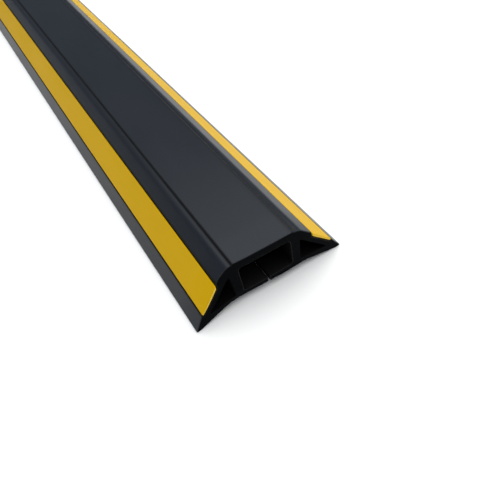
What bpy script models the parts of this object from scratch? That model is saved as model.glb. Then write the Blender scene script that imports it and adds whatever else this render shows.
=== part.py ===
"""Floor cord cover: one extruded black body with a yellow strip laid into each flank.

The section lies in the YZ plane and runs along X. The origin is on the floor under the middle
of the cover. Y points across it and +Z up. All sizes are in metres.
"""
from math import atan2, cos, hypot, pi, sin, tan

import bmesh
import bpy
from mathutils import Euler, Vector

# Driving sizes of the stock
COVER_LENGTH = 1.0
COVER_WIDTH = 0.068
COVER_HEIGHT = 0.024

# Flat deck, the crease that its rounded edge falls into, and the shoulder that bends down from it
DECK_EDGE_Y = 0.0127
DECK_EDGE_RADIUS = 0.001
CREASE_Y = 0.0134
CREASE_Z = 0.0234
CREASE_RADIUS = 0.0005
SHOULDER_CORNER_Y = 0.0154
SHOULDER_CORNER_Z = 0.0232
SHOULDER_RADIUS = 0.005

# Recess in each flank that holds the strip, from its upper edge to its lower edge. Its upper wall
# stands upright, so its foot lies a little way down the slope
STRIP_TOP_Y = 0.0206
STRIP_TOP_Z = 0.0180
STRIP_FOOT_Y = 0.0299
STRIP_FOOT_Z = 0.0072
RECESS_WALL_RUN = 0.0020
RECESS_TOP_DEPTH = 0.0017
RECESS_FOOT_DEPTH = 0.0011
STRIP_GAP = 0.0003
STRIP_SUNK = 0.00025
STRIP_CORNER = 0.0003

# Lip along each outer edge and the hollow underside between the two lips
LIP_EDGE_HEIGHT = 0.0007
LIP_FLAT_WIDTH = 0.0022
LIP_CORNER = 0.0003
HOLLOW_HEIGHT = 0.0038
HOLLOW_Y = 0.0175

# Walls inside
ROOF_THICKNESS = 0.004
BASE_THICKNESS = 0.0027
CHANNEL_HALF_WIDTH = 0.0111
CHANNEL_CORNER = 0.0016
SLIT_WIDTH = 0.001
WEB_TOP_THICKNESS = 0.0038
WEB_FOOT_THICKNESS = 0.0034
CHAMBER_TOP_Z = 0.0187
CHAMBER_OUTER_Y = 0.0280
CHAMBER_OUTER_Z = 0.0047
CHAMBER_CORNER = 0.0007

# Finish
ARC_STEPS = 6
WELD_DISTANCE = 0.00001
SHARP_ANGLE = 30.0 * pi / 180.0
BLACK = (0.020, 0.022, 0.024)
YELLOW = (0.60, 0.33, 0.022)


def clear_scene():
    """Remove every object of the opened file."""
    for item in list(bpy.data.objects):
        bpy.data.objects.remove(item, do_unlink=True)


def make_material(name, colour, roughness):
    """Return a Principled material of one colour."""
    material = bpy.data.materials.new(name)
    material.use_nodes = True
    shader = material.node_tree.nodes["Principled BSDF"]
    shader.inputs["Base Color"].default_value = (*colour, 1.0)
    shader.inputs["Roughness"].default_value = roughness
    shader.inputs["Metallic"].default_value = 0.0
    material.diffuse_color = (*colour, 1.0)
    return material


def rounded(corners, closed=True):
    """Return the outline through (y, z, radius) corners, each turned into an arc of its radius."""
    points = []
    count = len(corners)
    for index, (y, z, radius) in enumerate(corners):
        here = Vector((y, z))
        if radius == 0.0 or (not closed and index in (0, count - 1)):
            points.append((y, z))
            continue
        before = (Vector(corners[index - 1][:2]) - here).normalized()
        after = (Vector(corners[(index + 1) % count][:2]) - here).normalized()
        half_angle = before.angle(after) / 2.0
        centre = here + (before + after).normalized() * (radius / sin(half_angle))
        first = here + before * (radius / tan(half_angle)) - centre
        last = here + after * (radius / tan(half_angle)) - centre
        start = atan2(first.y, first.x)
        sweep = (atan2(last.y, last.x) - start + pi) % (2.0 * pi) - pi
        for step in range(ARC_STEPS + 1):
            angle = start + sweep * step / ARC_STEPS
            points.append((centre.x + radius * cos(angle), centre.y + radius * sin(angle)))
    return points


def flank_length():
    """Return the length of the flank down its slope."""
    return hypot(STRIP_FOOT_Y - STRIP_TOP_Y, STRIP_FOOT_Z - STRIP_TOP_Z)


def in_flank(along, depth, radius):
    """Return the corner that lies so far down the slope and so deep below the flank's face."""
    run_y = (STRIP_FOOT_Y - STRIP_TOP_Y) / flank_length()
    run_z = (STRIP_FOOT_Z - STRIP_TOP_Z) / flank_length()
    return (STRIP_TOP_Y + along * run_y + depth * run_z,
            STRIP_TOP_Z + along * run_z - depth * run_y, radius)


def outer_half():
    """Return the +Y half of the outer face, from the deck's middle to the lip's inner edge."""
    half_width = COVER_WIDTH / 2.0
    corners = [(0.0, COVER_HEIGHT, 0.0),
               (DECK_EDGE_Y, COVER_HEIGHT, DECK_EDGE_RADIUS),
               (CREASE_Y, CREASE_Z, CREASE_RADIUS),
               (SHOULDER_CORNER_Y, SHOULDER_CORNER_Z, SHOULDER_RADIUS),
               (STRIP_TOP_Y, STRIP_TOP_Z, 0.0),
               in_flank(RECESS_WALL_RUN, RECESS_TOP_DEPTH, 0.0),
               in_flank(flank_length(), RECESS_FOOT_DEPTH, 0.0),
               (STRIP_FOOT_Y, STRIP_FOOT_Z, 0.0),
               (half_width, LIP_EDGE_HEIGHT, LIP_CORNER),
               (half_width, 0.0, LIP_CORNER),
               (half_width - LIP_FLAT_WIDTH, 0.0, 0.0),
               (HOLLOW_Y, HOLLOW_HEIGHT, 0.0)]
    return rounded(corners, closed=False)


def channel_half():
    """Return the +Y half of the cable channel, from the slit's lower edge to the roof's middle."""
    floor_z = HOLLOW_HEIGHT + BASE_THICKNESS
    roof_z = COVER_HEIGHT - ROOF_THICKNESS
    corners = [(SLIT_WIDTH / 2.0, HOLLOW_HEIGHT, 0.0),
               (SLIT_WIDTH / 2.0, floor_z, 0.0),
               (CHANNEL_HALF_WIDTH, floor_z, CHANNEL_CORNER),
               (CHANNEL_HALF_WIDTH, roof_z, CHANNEL_CORNER),
               (0.0, roof_z, 0.0)]
    return rounded(corners, closed=False)


def body_outline():
    """Return the closed outline of the body with its channel and slit."""
    half = (outer_half() + channel_half())[1:-1]
    return half + [(-y, z) for y, z in reversed(half)]


def chamber_outline(side):
    """Return the outline of the three-cornered side chamber on one side."""
    floor_z = HOLLOW_HEIGHT + BASE_THICKNESS
    corners = [(CHANNEL_HALF_WIDTH + WEB_FOOT_THICKNESS, floor_z, CHAMBER_CORNER),
               (CHAMBER_OUTER_Y, CHAMBER_OUTER_Z, CHAMBER_CORNER),
               (CHANNEL_HALF_WIDTH + WEB_TOP_THICKNESS, CHAMBER_TOP_Z, CHAMBER_CORNER)]
    return [(side * y, z) for y, z in rounded(corners)]


def strip_outline(side):
    """Return the outline of the yellow strip on one side, a gap clear of its recess.

    Its upper edge lies a little below the shoulder, its lower edge is flush with the lip.
    """
    lean = RECESS_WALL_RUN / RECESS_TOP_DEPTH
    lead = STRIP_GAP * hypot(1.0, lean)
    under = RECESS_TOP_DEPTH - STRIP_GAP
    end = flank_length() - STRIP_GAP
    corners = [in_flank(lead + lean * under, under, 0.0),
               in_flank(lead + lean * STRIP_SUNK, STRIP_SUNK, STRIP_CORNER),
               in_flank(end, 0.0, STRIP_CORNER),
               in_flank(end, RECESS_FOOT_DEPTH - STRIP_GAP, 0.0)]
    return [(side * y, z) for y, z in rounded(corners)]


def extrude_outlines(name, outlines, material, collection):
    """Extrude closed YZ outlines along the whole length into one solid."""
    curve = bpy.data.curves.new(name + "_section", "CURVE")
    curve.dimensions = "2D"
    curve.fill_mode = "BOTH"
    curve.extrude = COVER_LENGTH / 2.0
    for outline in outlines:
        spline = curve.splines.new("POLY")
        spline.points.add(len(outline) - 1)
        for point, (y, z) in zip(spline.points, outline):
            point.co = (y, z, 0.0, 1.0)
        spline.use_cyclic_u = True
    section = bpy.data.objects.new(name + "_section", curve)
    section.rotation_euler = Euler((pi / 2.0, 0.0, pi / 2.0))
    collection.objects.link(section)
    bpy.context.view_layer.update()
    graph = bpy.context.evaluated_depsgraph_get()
    mesh = bpy.data.meshes.new_from_object(section.evaluated_get(graph))
    solid = bpy.data.objects.new(name, mesh)
    solid.matrix_world = section.matrix_world
    bpy.data.objects.remove(section, do_unlink=True)
    close_mesh(mesh)
    mesh.name = name
    mesh.materials.clear()
    mesh.materials.append(material)
    collection.objects.link(solid)


def close_mesh(mesh):
    """Weld the caps to the walls, turn every face outward and set the shading."""
    shape = bmesh.new()
    shape.from_mesh(mesh)
    bmesh.ops.remove_doubles(shape, verts=shape.verts, dist=WELD_DISTANCE)
    bmesh.ops.recalc_face_normals(shape, faces=shape.faces)
    shape.to_mesh(mesh)
    shape.free()
    mesh.shade_smooth()
    mesh.set_sharp_from_angle(angle=SHARP_ANGLE)


def build_body(collection):
    """Build the black body: deck, shoulders, flanks, lips, webs, base and chambers in one piece."""
    black = make_material("black_soft_pvc", BLACK, 0.5)
    outlines = [body_outline(), chamber_outline(1.0), chamber_outline(-1.0)]
    extrude_outlines("cover_body", outlines, black, collection)


def build_strips(collection):
    """Build the yellow strips of the two flanks."""
    yellow = make_material("yellow_soft_pvc", YELLOW, 0.55)
    for name, side in (("yellow_strip_left", -1.0), ("yellow_strip_right", 1.0)):
        extrude_outlines(name, [strip_outline(side)], yellow, collection)


def main():
    """Build the cord cover."""
    clear_scene()
    collection = bpy.data.collections.new("floor_cord_cover")
    bpy.context.scene.collection.children.link(collection)
    build_body(collection)
    build_strips(collection)


main()
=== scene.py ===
"""Floor cord cover on a pale studio floor.

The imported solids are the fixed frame. The body and its two yellow strips are drawn out here again
with finer arcs, softened edges and a hand cut near end. The section lies in the YZ plane and runs
along X. Sizes are in metres unless a name says otherwise.
"""
import logging
from dataclasses import dataclass, field, fields, is_dataclass, replace
from enum import Enum
from math import atan2, ceil, cos, pi, radians, sin, sqrt, tan
from typing import Any

import bmesh
import bpy
from mathutils import Euler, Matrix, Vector


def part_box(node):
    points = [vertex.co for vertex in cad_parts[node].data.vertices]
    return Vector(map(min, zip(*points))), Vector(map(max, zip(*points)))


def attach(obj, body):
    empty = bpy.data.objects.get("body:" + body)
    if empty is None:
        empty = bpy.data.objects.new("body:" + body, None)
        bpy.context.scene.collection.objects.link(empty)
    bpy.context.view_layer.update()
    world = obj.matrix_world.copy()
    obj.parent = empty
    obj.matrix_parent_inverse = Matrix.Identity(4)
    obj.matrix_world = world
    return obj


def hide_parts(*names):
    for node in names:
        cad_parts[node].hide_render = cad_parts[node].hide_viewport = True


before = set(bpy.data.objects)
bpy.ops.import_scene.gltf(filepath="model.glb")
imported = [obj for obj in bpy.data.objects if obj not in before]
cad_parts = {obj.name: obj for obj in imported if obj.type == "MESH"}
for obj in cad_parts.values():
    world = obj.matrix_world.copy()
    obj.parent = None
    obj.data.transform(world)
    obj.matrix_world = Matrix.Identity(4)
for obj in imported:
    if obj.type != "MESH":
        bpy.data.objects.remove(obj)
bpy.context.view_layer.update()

PVC_IOR = 1.53
PATTERN_ROUGHNESS = 0.55
LOG = logging.getLogger("floor_cord_cover")

Point = tuple[float, float]
Corner = tuple[float, float, float]
Source = bpy.types.Node | bpy.types.NodeSocket


class Side(Enum):
    """The two flanks of the cover, with the sign of Y on each."""

    LEFT = -1.0
    RIGHT = 1.0


class Stock(Enum):
    """The two colours of plasticised PVC, named as the record's material slots."""

    BLACK = "black_soft_pvc"
    YELLOW = "yellow_soft_pvc"


def hex_to_linear(code: str) -> tuple[float, float, float, float]:
    """Turn an sRGB hex colour into a linear one.

    Args:
        code: Six hex digits.

    Returns:
        Linear red, green, blue and an alpha of one.
    """
    channels = [int(code[start:start + 2], 16) / 255.0 for start in (0, 2, 4)]
    linear = [c / 12.92 if c <= 0.04045 else ((c + 0.055) / 1.055) ** 2.4 for c in channels]
    return linear[0], linear[1], linear[2], 1.0


def add_node(tree: bpy.types.NodeTree, kind: str, settings: dict[str, Any] | None = None,
             inputs: dict[str | int, Any] | None = None) -> bpy.types.Node:
    """Add a node with its settings, its input values and the links into it.

    Args:
        tree: The tree that the node goes into.
        kind: The node's type name.
        settings: Properties of the node.
        inputs: What each input takes, by its name or index: a value, an output socket, or a node
            whose first output is meant.

    Returns:
        The new node.
    """
    node = tree.nodes.new(kind)
    for name, value in (settings or {}).items():
        setattr(node, name, value)
    for key, source in (inputs or {}).items():
        if isinstance(source, bpy.types.Node):
            source = source.outputs[0]
        if isinstance(source, bpy.types.NodeSocket):
            tree.links.new(source, node.inputs[key])
        else:
            node.inputs[key].default_value = source
    return node


def round_corners(corners: list[Corner], closed: bool, steps: int) -> list[Point]:
    """Turn each corner of an outline into an arc.

    Args:
        corners: The place and the radius of each corner.
        closed: Whether the last corner joins the first one.
        steps: The number of straight steps in an arc.

    Returns:
        The points of the outline.
    """
    points = []
    count = len(corners)
    for index, (y, z, radius) in enumerate(corners):
        if radius == 0.0 or (not closed and index in (0, count - 1)):
            points.append((y, z))
            continue
        here = Vector((y, z))
        before = (Vector(corners[index - 1][:2]) - here).normalized()
        after = (Vector(corners[(index + 1) % count][:2]) - here).normalized()
        half_angle = before.angle(after) / 2.0
        centre = here + (before + after).normalized() * (radius / sin(half_angle))
        first = here + before * (radius / tan(half_angle)) - centre
        last = here + after * (radius / tan(half_angle)) - centre
        start = atan2(first.y, first.x)
        sweep = (atan2(last.y, last.x) - start + pi) % (2.0 * pi) - pi
        for step in range(steps + 1):
            angle = start + sweep * step / steps
            points.append((centre.x + radius * cos(angle), centre.y + radius * sin(angle)))
    return points


def add_steps(outline: list[Point], longest: float) -> list[Point]:
    """Split the long edges of a closed outline.

    Args:
        outline: The points of the outline.
        longest: The longest edge that may stay.

    Returns:
        The outline with points added along its long edges.
    """
    points = []
    for index, start in enumerate(outline):
        a, b = Vector(start), Vector(outline[(index + 1) % len(outline)])
        parts = max(1, ceil((b - a).length / longest))
        points += [tuple(a.lerp(b, part / parts)) for part in range(parts)]
    return points


@dataclass(frozen=True)
class CoverSection:
    """Cross-section of the stock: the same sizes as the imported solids, with finer arcs."""

    width: float = 0.068
    height: float = 0.024
    deck_edge_y: float = 0.0127
    deck_edge_radius: float = 0.001
    crease: Point = (0.0134, 0.0234)
    crease_radius: float = 0.0005
    shoulder_corner: Point = (0.0154, 0.0232)
    shoulder_radius: float = 0.005
    strip_top: Point = (0.0206, 0.0180)
    strip_foot: Point = (0.0299, 0.0072)
    recess_wall_run: float = 0.0020
    recess_top_depth: float = 0.0017
    recess_foot_depth: float = 0.0011
    recess_edge_radius: float = 0.0003
    strip_gap: float = 0.0003
    strip_sunk: float = 0.00025
    strip_corner: float = 0.0003
    lip_edge_height: float = 0.0007
    lip_flat_width: float = 0.0022
    lip_corner: float = 0.0003
    hollow_height: float = 0.0038
    hollow_y: float = 0.0175
    roof_thickness: float = 0.004
    base_thickness: float = 0.0027
    channel_half_width: float = 0.0111
    channel_corner: float = 0.0016
    slit_width: float = 0.001
    web_top_thickness: float = 0.0038
    web_foot_thickness: float = 0.0034
    chamber_top_z: float = 0.0187
    chamber_outer: Point = (0.0280, 0.0047)
    chamber_corner: float = 0.0007
    arc_steps: int = 12
    longest_edge: float = 0.0012
    longest_strip_edge: float = 0.0004

    def flank_length(self) -> float:
        """Return the length of the flank down its slope."""
        return (Vector(self.strip_foot) - Vector(self.strip_top)).length

    def in_flank(self, along: float, depth: float, radius: float) -> Corner:
        """Place a corner in the flank.

        Args:
            along: How far down the slope from the strip's upper edge.
            depth: How far below the flank's face.
            radius: The radius of the corner.

        Returns:
            The corner in the section's plane.
        """
        run = (Vector(self.strip_foot) - Vector(self.strip_top)).normalized()
        y, z = Vector(self.strip_top) + along * run + depth * Vector((run.y, -run.x))
        return y, z, radius

    def outer_half(self) -> list[Point]:
        """Shape the +Y half of the outer face.

        Returns:
            Its points, from the deck's middle to the underside.
        """
        half_width = self.width / 2.0
        length = self.flank_length()
        corners = [(0.0, self.height, 0.0),
                   (self.deck_edge_y, self.height, self.deck_edge_radius),
                   (*self.crease, self.crease_radius),
                   (*self.shoulder_corner, self.shoulder_radius),
                   (*self.strip_top, self.recess_edge_radius),
                   self.in_flank(self.recess_wall_run, self.recess_top_depth, 0.0),
                   self.in_flank(length, self.recess_foot_depth, 0.0),
                   (*self.strip_foot, self.recess_edge_radius),
                   (half_width, self.lip_edge_height, self.lip_corner),
                   (half_width, 0.0, self.lip_corner),
                   (half_width - self.lip_flat_width, 0.0, 0.0),
                   (self.hollow_y, self.hollow_height, 0.0)]
        return round_corners(corners, False, self.arc_steps)

    def channel_half(self) -> list[Point]:
        """Shape the +Y half of the cable channel.

        Returns:
            Its points, from the slit up to the roof's middle.
        """
        half_slit = self.slit_width / 2.0
        floor_z = self.hollow_height + self.base_thickness
        roof_z = self.height - self.roof_thickness
        corners = [(half_slit, self.hollow_height, 0.0),
                   (half_slit, floor_z, 0.0),
                   (self.channel_half_width, floor_z, self.channel_corner),
                   (self.channel_half_width, roof_z, self.channel_corner),
                   (0.0, roof_z, 0.0)]
        return round_corners(corners, False, self.arc_steps)

    def chamber(self, side: Side) -> list[Point]:
        """Shape the three-cornered chamber on one side.

        Args:
            side: The side of the cover.

        Returns:
            The closed outline, which runs the other way round from the body's.
        """
        foot_y = self.channel_half_width + self.web_foot_thickness
        floor_z = self.hollow_height + self.base_thickness
        top_y = self.channel_half_width + self.web_top_thickness
        corners = [(foot_y, floor_z, self.chamber_corner),
                   (*self.chamber_outer, self.chamber_corner),
                   (top_y, self.chamber_top_z, self.chamber_corner)]
        outline = add_steps(round_corners(corners, True, self.arc_steps), self.longest_edge)
        if side is Side.RIGHT:
            outline.reverse()
        return [(side.value * y, z) for y, z in outline]

    def body(self) -> list[list[Point]]:
        """Shape the body and its chambers.

        Returns:
            The closed outlines, with the material always on the same hand.
        """
        half = (self.outer_half() + self.channel_half())[1:-1]
        outline = half + [(-y, z) for y, z in reversed(half)]
        return [add_steps(outline, self.longest_edge), self.chamber(Side.LEFT),
                self.chamber(Side.RIGHT)]

    def strip(self, side: Side) -> list[list[Point]]:
        """Shape the yellow strip on one side, clear of its recess.

        Args:
            side: The side of the cover.

        Returns:
            The closed outline, as the only one of its piece.
        """
        lean = self.recess_wall_run / self.recess_top_depth
        lead = self.strip_gap * sqrt(1.0 + lean * lean)
        under = self.recess_top_depth - self.strip_gap
        end = self.flank_length() - self.strip_gap
        corners = [self.in_flank(lead + lean * under, under, 0.0),
                   self.in_flank(lead + lean * self.strip_sunk, self.strip_sunk,
                                 self.strip_corner),
                   self.in_flank(end, 0.0, self.strip_corner),
                   self.in_flank(end, self.recess_foot_depth - self.strip_gap, 0.0)]
        outline = add_steps(round_corners(corners, True, self.arc_steps), self.longest_strip_edge)
        if side is Side.LEFT:
            outline.reverse()
        return [[(side.value * y, z) for y, z in outline]]


@dataclass(frozen=True)
class Dent:
    """A shallow place in the cut, deepest in its middle and gone at its width and height."""

    across: float
    up: float
    width: float
    height: float
    set_back: float


@dataclass(frozen=True)
class HandCut:
    """How the near end was sawn, as how far the cut lies behind the farthest point.

    The twist is for each metre across and each metre above its height. The corner is rounded over
    its run, outwards from its start, and stays sharp where its set back is zero.
    """

    run_out: float = 0.016
    set_back: float = 0.0005
    twist: float = -2.08
    twist_height: float = 0.008
    waver: float = 0.0002
    foot: Dent = Dent(across=-0.0135, up=0.0, width=0.020, height=0.009, set_back=0.0022)
    shoulder: Dent = Dent(across=-0.019, up=0.0195, width=0.012, height=0.012, set_back=0.00125)
    corner_start: float = 0.0
    corner_run: float = 0.001
    corner_set_back: float = 0.0


def input_values(sizes: Any, prefix: str = "") -> dict[str, float]:
    """Name a tree's inputs after the fields of a dataclass.

    Args:
        sizes: The dataclass. One that it holds lends its field's name to its own fields.
        prefix: What each name starts with.

    Returns:
        The value of each input, by its name.
    """
    values = {}
    for size in fields(sizes):
        name = prefix + size.name.replace("_", " ").title()
        value = getattr(sizes, size.name)
        values |= input_values(value, name + " ") if is_dataclass(value) else {name: value}
    return values


@dataclass
class DrawnStock:
    """Geometry Nodes that draw closed outlines out along their normal and cut both ends.

    The tree has the section in its XY plane and the length along Z, and turns the stock at the end.
    """

    edge_softness: float = 0.00028
    rim_steps: int = 4
    merge_distance: float = 0.000001
    waver_scale: float = 140.0
    waver_detail: float = 2.0
    sharp_degrees: float = 38.0
    tree: bpy.types.NodeTree = field(init=False)
    given: bpy.types.bpy_prop_collection = field(init=False)

    def __post_init__(self) -> None:
        """Make the tree with its named inputs."""
        self.tree = bpy.data.node_groups.new("drawn_stock", "GeometryNodeTree")
        sizes = ("Length", "Edge Softness", *input_values(HandCut()))
        kinds = {"Section": "Geometry", **dict.fromkeys(sizes, "Float"), "Skin": "Material",
                 "Cut": "Material"}
        for name, kind in kinds.items():
            self.tree.interface.new_socket(name, in_out="INPUT", socket_type="NodeSocket" + kind)
        self.tree.interface.new_socket("Stock", in_out="OUTPUT", socket_type="NodeSocketGeometry")
        self.given = add_node(self.tree, "NodeGroupInput").outputs
        walls = self.sweep_walls(*self.lay_path())
        self.finish(self.saw_near_end(self.close_ends(walls)))

    def lay_path(self) -> tuple[bpy.types.Node, bpy.types.Node]:
        """Lay the straight path, with close stations at each end for the softened rim.

        Returns:
            The path and how far the wall is drawn in at each of its stations.
        """
        tree, soft = self.tree, self.given["Edge Softness"]
        # Each end has a station at its face, one for each step of the rim and one at the run out
        last = 2 * self.rim_steps + 3
        line = add_node(tree, "GeometryNodeCurvePrimitiveLine", inputs={"End": (0.0, 0.0, 1.0)})
        path = add_node(tree, "GeometryNodeResampleCurve",
                        inputs={"Curve": line, "Count": last + 1})
        index = add_node(tree, "GeometryNodeInputIndex")
        to_last = add_node(tree, "ShaderNodeMath", {"operation": "SUBTRACT"}, {0: last, 1: index})
        from_end = add_node(tree, "ShaderNodeMath", {"operation": "MINIMUM"},
                            {0: index, 1: to_last})
        angle = add_node(tree, "ShaderNodeMapRange", inputs={
            "Value": from_end, "From Max": self.rim_steps, "To Max": pi / 2.0})
        arc = []
        for operation in ("COSINE", "SINE"):
            part = add_node(tree, "ShaderNodeMath", {"operation": operation}, {0: angle})
            rest = add_node(tree, "ShaderNodeMath", {"operation": "SUBTRACT"}, {0: 1.0, 1: part})
            arc.append(add_node(tree, "ShaderNodeMath", {"operation": "MULTIPLY"},
                                {0: soft, 1: rest}))
        reach, drawn_in = arc
        beyond = add_node(tree, "ShaderNodeMath", {"operation": "GREATER_THAN"},
                          {0: from_end, 1: self.rim_steps + 0.5})
        run = add_node(tree, "ShaderNodeMath", {"operation": "SUBTRACT"},
                       {0: self.given["Run Out"], 1: soft})
        back = add_node(tree, "ShaderNodeMath", {"operation": "MULTIPLY_ADD"},
                        {0: beyond, 1: run, 2: reach})
        half = add_node(tree, "ShaderNodeMath", {"operation": "MULTIPLY"},
                        {0: self.given["Length"], 1: 0.5})
        along = add_node(tree, "ShaderNodeMath", {"operation": "SUBTRACT"}, {0: half, 1: back})
        second_half = add_node(tree, "ShaderNodeMath", {"operation": "GREATER_THAN"},
                               {0: index, 1: last / 2.0})
        sign = add_node(tree, "ShaderNodeMath", {"operation": "MULTIPLY_ADD"},
                        {0: second_half, 1: 2.0, 2: -1.0})
        station = add_node(tree, "ShaderNodeMath", {"operation": "MULTIPLY"}, {0: along, 1: sign})
        place = add_node(tree, "ShaderNodeCombineXYZ", inputs={"Z": station})
        laid = add_node(tree, "GeometryNodeSetPosition",
                        inputs={"Geometry": path, "Position": place})
        return laid, drawn_in

    def sweep_walls(self, path: bpy.types.Node, drawn_in: bpy.types.Node) -> bpy.types.Node:
        """Sweep the outlines along the path and round the rims.

        Args:
            path: The path.
            drawn_in: How far the wall is drawn in along it.

        Returns:
            The open walls.
        """
        tree = self.tree
        keep = add_node(tree, "GeometryNodeCaptureAttribute")
        keep.capture_items.new("FLOAT", "Drawn In")
        for source, socket in zip((path, drawn_in), keep.inputs):
            tree.links.new(source.outputs[0], socket)
        tube = add_node(tree, "GeometryNodeCurveToMesh",
                        inputs={"Curve": keep, "Profile Curve": self.given["Section"]})
        normal = add_node(tree, "GeometryNodeInputNormal")
        inward = add_node(tree, "ShaderNodeVectorMath", {"operation": "SCALE"},
                          {0: normal, "Scale": keep.outputs[1]})
        soft = add_node(tree, "GeometryNodeSetPosition",
                        inputs={"Geometry": tube, "Offset": inward})
        return add_node(tree, "GeometryNodeSetShadeSmooth",
                        inputs={0: soft, "Shade Smooth": True})

    def close_ends(self, walls: bpy.types.Node) -> bpy.types.Node:
        """Fill both ends of the walls, leaving the channel and the chambers open.

        Args:
            walls: The open walls.

        Returns:
            The closed stock.
        """
        tree = self.tree
        sides = add_node(tree, "GeometryNodeInputMeshEdgeNeighbors")
        open_edge = add_node(tree, "ShaderNodeMath", {"operation": "LESS_THAN"},
                             {0: sides, 1: 1.5})
        place = add_node(tree, "GeometryNodeInputPosition")
        along = add_node(tree, "ShaderNodeSeparateXYZ", inputs={0: place}).outputs["Z"]
        parts = add_node(tree, "GeometryNodeJoinGeometry", inputs={0: walls})
        for past_middle, share in (("LESS_THAN", -0.5), ("GREATER_THAN", 0.5)):
            at_end = add_node(tree, "ShaderNodeMath", {"operation": past_middle},
                              {0: along, 1: 0.0})
            chosen = add_node(tree, "ShaderNodeMath", {"operation": "MULTIPLY"},
                              {0: open_edge, 1: at_end})
            rim = add_node(tree, "GeometryNodeMeshToCurve",
                           inputs={"Mesh": walls, "Selection": chosen})
            cap = add_node(tree, "GeometryNodeFillCurve", inputs={"Curve": rim})
            reach = add_node(tree, "ShaderNodeMath", {"operation": "MULTIPLY"},
                             {0: self.given["Length"], 1: share})
            shift = add_node(tree, "ShaderNodeCombineXYZ", inputs={"Z": reach})
            moved = add_node(tree, "GeometryNodeTransform",
                             inputs={"Geometry": cap, "Translation": shift})
            flat = add_node(tree, "GeometryNodeSetShadeSmooth",
                            inputs={0: moved, "Shade Smooth": False})
            tree.links.new(flat.outputs[0], parts.inputs[0])
        return add_node(tree, "GeometryNodeMergeByDistance",
                        inputs={"Geometry": parts, "Distance": self.merge_distance})

    def saw_near_end(self, stock: bpy.types.Node) -> bpy.types.Node:
        """Set the near end back unevenly, as a hand held saw leaves it.

        Args:
            stock: The stock with square ends.

        Returns:
            The stock with its near end cut.
        """
        tree = self.tree
        place = add_node(tree, "GeometryNodeInputPosition")
        at = add_node(tree, "ShaderNodeSeparateXYZ", inputs={0: place}).outputs
        back = self.slant_cut(place, at["X"], at["Y"])
        for part in (self.dent_cut("Foot", at["X"], at["Y"]),
                     self.dent_cut("Shoulder", at["X"], at["Y"]), self.round_corner(at["X"])):
            back = add_node(tree, "ShaderNodeMath", {"operation": "ADD"}, {0: back, 1: part})
        end = add_node(tree, "ShaderNodeMath", {"operation": "MULTIPLY"},
                       {0: self.given["Length"], 1: 0.5})
        start = add_node(tree, "ShaderNodeMath", {"operation": "SUBTRACT"},
                         {0: end, 1: self.given["Run Out"]})
        # The pull grows from nothing at the run out to the whole way back at the cut
        pull = add_node(tree, "ShaderNodeMapRange", inputs={
            "Value": at["Z"], "From Min": start, "From Max": end, "To Max": -1.0})
        pulled = add_node(tree, "ShaderNodeMath", {"operation": "MULTIPLY"}, {0: pull, 1: back})
        shift = add_node(tree, "ShaderNodeCombineXYZ", inputs={"Z": pulled})
        return add_node(tree, "GeometryNodeSetPosition",
                        inputs={"Geometry": stock, "Offset": shift})

    def slant_cut(self, place: Source, across: Source, up: Source) -> bpy.types.Node:
        """Set the cut back in a twist, with a little waver.

        Args:
            place: The place of each point.
            across: The place across the cover.
            up: The height above the floor.

        Returns:
            How far the cut lies back.
        """
        tree = self.tree
        noise = add_node(tree, "ShaderNodeTexNoise", {"noise_dimensions": "2D"}, {
            "Vector": place, "Scale": self.waver_scale, "Detail": self.waver_detail})
        above = add_node(tree, "ShaderNodeMath", {"operation": "SUBTRACT"},
                         {0: up, 1: self.given["Twist Height"]})
        lever = add_node(tree, "ShaderNodeMath", {"operation": "MULTIPLY"}, {0: across, 1: above})
        slant = add_node(tree, "ShaderNodeMath", {"operation": "MULTIPLY_ADD"},
                         {0: lever, 1: self.given["Twist"], 2: self.given["Set Back"]})
        behind = add_node(tree, "ShaderNodeMath", {"operation": "MAXIMUM"}, {0: slant, 1: 0.0})
        return add_node(tree, "ShaderNodeMath", {"operation": "MULTIPLY_ADD"},
                        {0: noise, 1: self.given["Waver"], 2: behind})

    def dent_cut(self, name: str, across: Source, up: Source) -> Source:
        """Set the cut back in one dent.

        Args:
            name: The dent's name in the inputs.
            across: The place across the cover.
            up: The height above the floor.

        Returns:
            How far the cut lies back.
        """
        dent = self.given[name + " Set Back"]
        for spot, middle, reach in ((across, " Across", " Width"), (up, " Up", " Height")):
            off = add_node(self.tree, "ShaderNodeMath", {"operation": "SUBTRACT"},
                           {0: spot, 1: self.given[name + middle]})
            away = add_node(self.tree, "ShaderNodeMath", {"operation": "ABSOLUTE"}, {0: off})
            dent = add_node(self.tree, "ShaderNodeMapRange", inputs={
                "Value": away, "From Max": self.given[name + reach], "To Min": dent,
                "To Max": 0.0})
        return dent

    def round_corner(self, across: Source) -> bpy.types.Node:
        """Set the corner back along a quarter of an arc.

        Args:
            across: The place across the cover.

        Returns:
            How far the cut lies back.
        """
        tree, start = self.tree, self.given["Corner Start"]
        side = add_node(tree, "ShaderNodeMath", {"operation": "ABSOLUTE"}, {0: across})
        end = add_node(tree, "ShaderNodeMath", {"operation": "ADD"},
                       {0: start, 1: self.given["Corner Run"]})
        near = add_node(tree, "ShaderNodeMapRange", inputs={
            "Value": side, "From Min": start, "From Max": end, "To Min": 1.0, "To Max": 0.0})
        square = add_node(tree, "ShaderNodeMath", {"operation": "MULTIPLY"}, {0: near, 1: near})
        rest = add_node(tree, "ShaderNodeMath", {"operation": "SUBTRACT"}, {0: 1.0, 1: square})
        root = add_node(tree, "ShaderNodeMath", {"operation": "SQRT"}, {0: rest})
        arc = add_node(tree, "ShaderNodeMath", {"operation": "SUBTRACT"}, {0: 1.0, 1: root})
        return add_node(tree, "ShaderNodeMath", {"operation": "MULTIPLY"},
                        {0: arc, 1: self.given["Corner Set Back"]})

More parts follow.
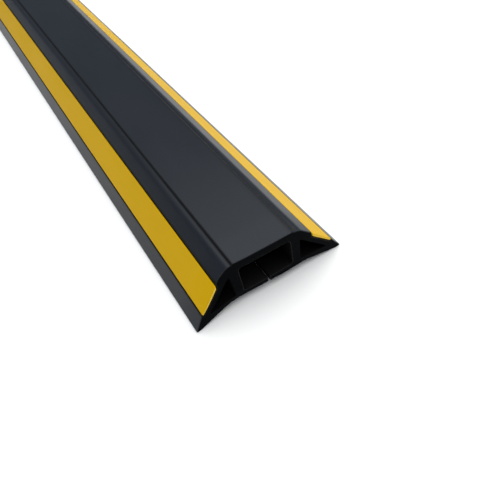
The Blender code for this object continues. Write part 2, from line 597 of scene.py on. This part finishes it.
    def finish(self, stock: bpy.types.Node) -> None:
        """Turn the stock along X and give the skin and the cut faces their finish.

        Args:
            stock: The stock, still drawn out along Z.
        """
        tree = self.tree
        turned = add_node(tree, "GeometryNodeTransform", inputs={
            "Geometry": stock, "Rotation": Euler((pi / 2.0, 0.0, pi / 2.0))})
        real = add_node(tree, "GeometryNodeRealizeInstances", inputs={0: turned})
        skin = add_node(tree, "GeometryNodeSetMaterial",
                        inputs={"Geometry": real, "Material": self.given["Skin"]})
        smooth = add_node(tree, "GeometryNodeInputShadeSmooth")
        cut_face = add_node(tree, "FunctionNodeBooleanMath", {"operation": "NOT"}, {0: smooth})
        cut = add_node(tree, "GeometryNodeSetMaterial", inputs={
            "Geometry": skin, "Selection": cut_face, "Material": self.given["Cut"]})
        add_node(tree, "NodeGroupOutput", inputs={0: cut})

    def lay_outlines(self, name: str, outlines: list[list[Point]]) -> bpy.types.Object:
        """Lay closed outlines as one curve object in its XY plane.

        Args:
            name: The object's name.
            outlines: Closed outlines in the section's plane.

        Returns:
            The curve object.
        """
        curve = bpy.data.curves.new(name, "CURVE")
        curve.dimensions = "3D"
        for outline in outlines:
            spline = curve.splines.new("POLY")
            spline.points.add(len(outline) - 1)
            for point, (y, z) in zip(spline.points, outline):
                point.co = (y, z, 0.0, 1.0)
            spline.use_cyclic_u = True
        host = bpy.data.objects.new(name, curve)
        bpy.context.scene.collection.objects.link(host)
        return host

    def draw(self, name: str, outlines: list[list[Point]], length: float, cut: HandCut,
             skin: bpy.types.Material, face: bpy.types.Material) -> bpy.types.Object:
        """Draw one piece out of its outlines as a plain mesh.

        Args:
            name: The piece's name.
            outlines: Closed outlines in the section's plane.
            length: The length of the stock.
            cut: How the near end is cut.
            skin: The finish of the drawn surface.
            face: The finish of the cut faces.

        Returns:
            The finished piece at the origin.
        """
        host = self.lay_outlines(name + "_section", outlines)
        modifier = host.modifiers.new("drawn_stock", "NODES")
        modifier.node_group = self.tree
        values = {"Length": length, "Edge Softness": self.edge_softness, **input_values(cut),
                  "Skin": skin, "Cut": face}
        for item in self.tree.interface.items_tree:
            if item.in_out == "INPUT" and item.name in values:
                modifier[item.identifier] = values[item.name]
        graph = bpy.context.evaluated_depsgraph_get()
        mesh = bpy.data.meshes.new_from_object(host.evaluated_get(graph))
        host.modifiers.remove(modifier)
        bpy.data.objects.remove(host, do_unlink=True)
        shape = bmesh.new()
        shape.from_mesh(mesh)
        bmesh.ops.recalc_face_normals(shape, faces=shape.faces)
        shape.to_mesh(mesh)
        shape.free()
        mesh.set_sharp_from_angle(angle=radians(self.sharp_degrees))
        mesh.name = name
        piece = bpy.data.objects.new(name, mesh)
        bpy.context.scene.collection.objects.link(piece)
        return piece


def bare_material(name: str, colour: str) -> bpy.types.Material:
    """Make a material whose tree is still empty.

    Args:
        name: The material's name.
        colour: The hex colour that a plain viewport shows.

    Returns:
        The material.
    """
    material = bpy.data.materials.new(name)
    material.use_nodes = True
    material.node_tree.nodes.clear()
    material.diffuse_color = hex_to_linear(colour)
    return material


def object_pattern(tree: bpy.types.NodeTree, cells_mm: tuple[float, float, float],
                   detail: float, lean_degrees: float = 0.0) -> bpy.types.Node:
    """Lay a noise whose cells have a real size along each axis of the piece.

    Args:
        tree: The material's tree.
        cells_mm: The size of a cell along X, Y and Z in millimetres.
        detail: The depth of finer detail in the noise.
        lean_degrees: How far the pattern leans over in the section.

    Returns:
        The noise.
    """
    place = add_node(tree, "ShaderNodeTexCoord").outputs["Object"]
    mapping = add_node(tree, "ShaderNodeMapping", {"vector_type": "POINT"}, {
        "Vector": place, "Rotation": Euler((radians(lean_degrees), 0.0, 0.0)),
        "Scale": tuple(1000.0 / size for size in cells_mm)})
    return add_node(tree, "ShaderNodeTexNoise", inputs={
        "Vector": mapping, "Scale": 1.0, "Detail": detail, "Roughness": PATTERN_ROUGHNESS})


@dataclass(frozen=True)
class Slope:
    """A line over the section that falls away from the cover's middle on both sides alike."""

    fall: float
    middle_height: float


@dataclass(frozen=True)
class PaintedShadePlaces:
    """Painted shade on the body: its creases, its bores and the joint round each strip.

    They are painted dark as shade and left rougher. A pair of values is for the left crease and the
    right one.
    """

    crease_y: float = 0.0131
    crease_reaches: tuple[float, float] = (0.0012, 0.0024)
    crease_depths: tuple[float, float] = (1.0, 0.6)
    side_change: float = 0.001
    # Colour of the painted shade along the creases
    crease_painted_shade: str = "090B0D"
    bore_slope: Slope = Slope(fall=1.11, middle_height=0.0371)
    bore_roof: float = 0.0207
    joint_slope: Slope = Slope(fall=1.161, middle_height=0.0420)
    joint_y: float = 0.0252
    joint_reach: float = 0.0049
    # Colour of the painted shade in the channel, the chambers, the underside and the strip joints
    inner_painted_shade: str = "020203"
    added_roughness: float = 0.3

    def mark_creases(self, tree: bpy.types.NodeTree, across: Source, side: Source
                     ) -> bpy.types.Node:
        """Mark the painted shade along the creases.

        Args:
            tree: The material's tree.
            across: The place across the cover.
            side: The distance from the cover's middle.

        Returns:
            The mark, one in the middle of the left crease.
        """
        off = add_node(tree, "ShaderNodeMath", {"operation": "SUBTRACT"},
                       {0: side, 1: self.crease_y})
        away = add_node(tree, "ShaderNodeMath", {"operation": "ABSOLUTE"}, {0: off})
        reach, depth = (
            add_node(tree, "ShaderNodeMapRange", inputs={
                "Value": across, "From Max": self.side_change, "To Min": left, "To Max": right})
            for left, right in (self.crease_reaches, self.crease_depths))
        deep = add_node(tree, "ShaderNodeMapRange", {"interpolation_type": "SMOOTHSTEP"}, {
            "Value": away, "From Max": reach, "To Min": 1.0, "To Max": 0.0})
        return add_node(tree, "ShaderNodeMath", {"operation": "MULTIPLY"}, {0: deep, 1: depth})

    def mark_inside(self, tree: bpy.types.NodeTree, side: Source, up: Source) -> bpy.types.Node:
        """Mark the painted shade in the channel, the chambers, the underside and the joint round
        each strip.

        Args:
            tree: The material's tree.
            side: The distance from the cover's middle.
            up: The height above the floor.

        Returns:
            The mark, one inside.
        """
        under_roof = add_node(tree, "ShaderNodeMath", {"operation": "LESS_THAN"},
                              {0: up, 1: self.bore_roof})
        in_flank = add_node(tree, "ShaderNodeMath", {"operation": "COMPARE"},
                            {0: side, 1: self.joint_y, 2: self.joint_reach})
        marks = []
        for slope, within in ((self.bore_slope, under_roof), (self.joint_slope, in_flank)):
            lean = add_node(tree, "ShaderNodeMath", {"operation": "MULTIPLY_ADD"},
                            {0: side, 1: slope.fall, 2: up})
            below = add_node(tree, "ShaderNodeMath", {"operation": "LESS_THAN"},
                             {0: lean, 1: slope.middle_height})
            marks.append(add_node(tree, "ShaderNodeMath", {"operation": "MULTIPLY"},
                                  {0: below, 1: within}))
        return add_node(tree, "ShaderNodeMath", {"operation": "MAXIMUM"}, dict(enumerate(marks)))

    def dull(self, tree: bpy.types.NodeTree, colour: Source, rough: Source
             ) -> tuple[Source, Source]:
        """Paint shade into the skin's colour in these places and roughen it there.

        Args:
            tree: The material's tree.
            colour: The colour of the skin.
            rough: The roughness of the skin.

        Returns:
            The new colour and the new roughness.
        """
        place = add_node(tree, "ShaderNodeTexCoord").outputs["Object"]
        at = add_node(tree, "ShaderNodeSeparateXYZ", inputs={0: place}).outputs
        side = add_node(tree, "ShaderNodeMath", {"operation": "ABSOLUTE"}, {0: at["Y"]})
        for mark, shade in ((self.mark_creases(tree, at["Y"], side), self.crease_painted_shade),
                            (self.mark_inside(tree, side, at["Z"]), self.inner_painted_shade)):
            colour = add_node(tree, "ShaderNodeMix", {"data_type": "RGBA"}, {
                "Factor": mark, "A": colour, "B": hex_to_linear(shade)}).outputs["Result"]
            rough = add_node(tree, "ShaderNodeMath", {"operation": "MULTIPLY_ADD"},
                             {0: mark, 1: self.added_roughness, 2: rough})
        return colour, rough


@dataclass(frozen=True)
class DrawnSkin:
    """Plasticised PVC as it leaves a polished die: satin, with fine lines along its length."""

    name: str
    clean: str
    dulled: str
    roughness: float
    roughness_spread: float
    gloss_tint: str = "FFFFFF"
    # Painted shade in the creases and hollows, where given
    unrubbed: PaintedShadePlaces | None = None
    specular_level: float = 0.15
    line_cells_mm: tuple[float, float, float] = (160.0, 0.5, 0.5)
    line_height: float = 0.00001
    grain_cells_mm: tuple[float, float, float] = (0.7, 0.7, 0.7)
    grain_height: float = 0.000006
    patch_cells_mm: tuple[float, float, float] = (45.0, 14.0, 14.0)
    pattern_sum: tuple[float, float] = (0.7, 1.3)

    def make(self) -> bpy.types.Material:
        """Make the material.

        Returns:
            The material, with lines, grain, faint dulled patches and any painted shade.
        """
        material = bare_material(self.name, self.clean)
        tree = material.node_tree
        # Die lines a few tenths of a millimetre apart that run on for a hand's breadth
        lines = object_pattern(tree, self.line_cells_mm, detail=2.0)
        # Grain of the calmed melt, drawn a little coarser than life so that it shows
        grain = object_pattern(tree, self.grain_cells_mm, detail=1.0)
        # Patches a few centimetres long where feet and hands have dulled the skin
        patches = object_pattern(tree, self.patch_cells_mm, detail=4.0)
        colour = add_node(tree, "ShaderNodeMix", {"data_type": "RGBA"}, {
            "Factor": patches, "A": hex_to_linear(self.clean),
            "B": hex_to_linear(self.dulled)}).outputs["Result"]
        gloss = add_node(tree, "ShaderNodeMath", {"operation": "ADD"}, {0: patches, 1: lines})
        rough = add_node(tree, "ShaderNodeMapRange", inputs={
            "Value": gloss, "From Min": self.pattern_sum[0], "From Max": self.pattern_sum[1],
            "To Min": self.roughness - self.roughness_spread,
            "To Max": self.roughness + self.roughness_spread})
        # Paint the shade of the creases, bores and strip joints into the colour
        if self.unrubbed is not None:
            colour, rough = self.unrubbed.dull(tree, colour, rough)
        drawn = add_node(tree, "ShaderNodeBump",
                         inputs={"Distance": self.line_height, "Height": lines})
        grained = add_node(tree, "ShaderNodeBump", inputs={
            "Distance": self.grain_height, "Height": grain, "Normal": drawn})
        shader = add_node(tree, "ShaderNodeBsdfPrincipled", inputs={
            "Base Color": colour, "Roughness": rough, "Normal": grained, "IOR": PVC_IOR,
            "Specular IOR Level": self.specular_level,
            "Specular Tint": hex_to_linear(self.gloss_tint)})
        add_node(tree, "ShaderNodeOutputMaterial", inputs={"Surface": shader})
        return material


@dataclass(frozen=True)
class SawnFace:
    """Cut PVC: matt, with the blade's marks across the section, and a colour set off the skin's as
    painted light on the cut end.
    """

    name: str
    cut: str
    smeared: str
    roughness: float
    specular_level: float = 0.02
    mark_cells_mm: tuple[float, float, float] = (8.0, 0.45, 7.0)
    mark_lean_degrees: float = 9.0
    mark_height: float = 0.00004
    smear_cells_mm: tuple[float, float, float] = (6.0, 6.0, 3.0)

    def make(self) -> bpy.types.Material:
        """Make the material.

        Returns:
            The material, with blade marks and smeared patches.
        """
        material = bare_material(self.name, self.cut)
        tree = material.node_tree
        # Marks of the teeth, half a millimetre apart and leaning a little
        marks = object_pattern(tree, self.mark_cells_mm, 2.0, self.mark_lean_degrees)
        # Patches where the blade warmed and smeared the plastic
        smears = object_pattern(tree, self.smear_cells_mm, detail=3.0)
        colour = add_node(tree, "ShaderNodeMix", {"data_type": "RGBA"}, {
            "Factor": smears, "A": hex_to_linear(self.cut), "B": hex_to_linear(self.smeared)})
        marked = add_node(tree, "ShaderNodeBump",
                          inputs={"Distance": self.mark_height, "Height": marks})
        shader = add_node(tree, "ShaderNodeBsdfPrincipled", inputs={
            "Base Color": colour.outputs["Result"], "Roughness": self.roughness,
            "Normal": marked, "IOR": PVC_IOR, "Specular IOR Level": self.specular_level})
        add_node(tree, "ShaderNodeOutputMaterial", inputs={"Surface": shader})
        return material


@dataclass
class CoverBody:
    """The black body: deck, shoulders, flanks, lips, webs and slit base in one extrusion."""

    stock: DrawnStock
    section: CoverSection
    length: float
    cut: HandCut = HandCut()
    skin: DrawnSkin = DrawnSkin("drawn_black_pvc", clean="1F2329", dulled="23272C",
                                roughness=0.32, roughness_spread=0.04,
                                # The black skin carries painted shade in its creases, bores and
                                # strip joints
                                unrubbed=PaintedShadePlaces())
    # The black cut face is painted darker than the skin: painted shade on the cut ends
    face: SawnFace = SawnFace("sawn_black_pvc", cut="050607", smeared="08090B", roughness=0.72)

    def build(self) -> bpy.types.Object:
        """Build the body, dress it and put it in the node's place.

        Returns:
            The piece.
        """
        piece = self.stock.draw("cord_cover_body", self.section.body(), self.length, self.cut,
                                self.skin.make(), self.face.make())
        return place_piece(piece, "cover_body")


@dataclass
class YellowStrips:
    """The two yellow strips that lie in the flanks, cut off with the body."""

    stock: DrawnStock
    section: CoverSection
    length: float
    cut: HandCut = HandCut()
    corner_run: float = 0.0008
    corner_set_back: float = 0.0005
    skin: DrawnSkin = DrawnSkin("drawn_yellow_pvc", clean="D6A904", dulled="CEA305",
                                roughness=0.50, roughness_spread=0.05, gloss_tint="FFC020")
    # The yellow cut face is painted paler than the strip: a painted highlight on the cut ends
    face: SawnFace = SawnFace("sawn_yellow_pvc", cut="E6C45A", smeared="DDB94E", roughness=0.65)

    def build(self) -> list[bpy.types.Object]:
        """Build both strips, dress them and put them in their nodes' places.

        Returns:
            The two pieces.
        """
        skin, face = self.skin.make(), self.face.make()
        # The saw tore the left strip's upper corner off a little
        torn = replace(self.cut, corner_start=self.section.strip_top[0] + self.section.strip_gap,
                       corner_run=self.corner_run, corner_set_back=self.corner_set_back)
        pieces = []
        for side, cut in ((Side.LEFT, torn), (Side.RIGHT, self.cut)):
            name = side.name.lower()
            piece = self.stock.draw("laid_in_strip_" + name, self.section.strip(side), self.length,
                                    cut, skin, face)
            pieces.append(place_piece(piece, "yellow_strip_" + name))
        return pieces


def place_piece(piece: bpy.types.Object, node: str) -> bpy.types.Object:
    """Let a finished piece stand for its node.

    Args:
        piece: The finished piece.
        node: The node that it replaces.

    Returns:
        The same piece.
    """
    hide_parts(node)
    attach(piece, "root")
    return piece


@dataclass(frozen=True)
class PhotoCamera:
    """The camera at the photograph's viewing angle, close above the near end."""

    location: tuple[float, float, float] = (0.60948, -0.0479, 0.1605)
    turn_degrees: tuple[float, float, float] = (40.611, 8.980, 58.455)
    lens_mm: float = 36.45
    sensor_mm: float = 36.0
    clip_start: float = 0.005

    def build(self) -> None:
        """Make the camera and look through it."""
        data = bpy.data.cameras.new("photo_camera")
        data.lens = self.lens_mm
        data.sensor_width = self.sensor_mm
        data.clip_start = self.clip_start
        camera = bpy.data.objects.new("photo_camera", data)
        camera.location = self.location
        camera.rotation_euler = Euler([radians(angle) for angle in self.turn_degrees])
        bpy.context.scene.collection.objects.link(camera)
        bpy.context.scene.camera = camera


@dataclass(frozen=True)
class Softbox:
    """One large soft light that shines straight down."""

    name: str
    size: tuple[float, float]
    place: tuple[float, float, float]
    radiance: float

    def hang(self) -> None:
        """Hang the light, with the power that gives its face the radiance."""
        data = bpy.data.lights.new(self.name, "AREA")
        data.shape = "RECTANGLE"
        data.size, data.size_y = self.size
        data.energy = self.radiance * pi * self.size[0] * self.size[1]
        light = bpy.data.objects.new(self.name, data)
        light.location = self.place
        bpy.context.scene.collection.objects.link(light)


@dataclass(frozen=True)
class Studio:
    """A plain pale floor under one large softbox, in a dimmer grey room."""

    floor_size: float = 12.0
    floor_drop: float = 0.0001
    floor_colour: str = "F4F4F2"
    floor_roughness: float = 0.9
    room_colour: str = "5C636E"
    room_strength: float = 1.0
    softbox: Softbox = Softbox("overhead_softbox", (3.6, 3.4), (0.5, 0.9, 1.7), 2.3)

    def build(self) -> None:
        """Lay the floor, light the room and hang the softbox."""
        scene = bpy.context.scene
        scene.view_settings.view_transform = "Standard"
        self.lay_floor()
        world = bpy.data.worlds.new("soft_room")
        world.use_nodes = True
        backdrop = world.node_tree.nodes["Background"]
        backdrop.inputs["Color"].default_value = hex_to_linear(self.room_colour)
        backdrop.inputs["Strength"].default_value = self.room_strength
        scene.world = world
        self.softbox.hang()

    def lay_floor(self) -> None:
        """Lay the floor just under the lips, with its paper-like finish."""
        half, level = self.floor_size / 2.0, -self.floor_drop
        corners = [(-half, -half, level), (half, -half, level), (half, half, level),
                   (-half, half, level)]
        mesh = bpy.data.meshes.new("studio_floor")
        mesh.from_pydata(corners, [], [(0, 1, 2, 3)])
        paper = bare_material("pale_paper", self.floor_colour)
        shader = add_node(paper.node_tree, "ShaderNodeBsdfPrincipled", inputs={
            "Base Color": hex_to_linear(self.floor_colour), "Roughness": self.floor_roughness})
        add_node(paper.node_tree, "ShaderNodeOutputMaterial", inputs={"Surface": shader})
        mesh.materials.append(paper)
        floor = bpy.data.objects.new("studio_floor", mesh)
        bpy.context.scene.collection.objects.link(floor)


def main() -> None:
    """Build the studio and the cover and report each piece."""
    logging.basicConfig(level=logging.INFO, format="%(name)s: %(message)s")
    PhotoCamera().build()
    Studio().build()
    section = CoverSection()
    stock = DrawnStock()
    low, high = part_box("cover_body")
    length = high.x - low.x
    pieces = [CoverBody(stock, section, length).build(),
              *YellowStrips(stock, section, length).build()]
    for piece in pieces:
        LOG.info("%s: %d faces", piece.name, len(piece.data.polygons))


if __name__ == "__main__":
    main()
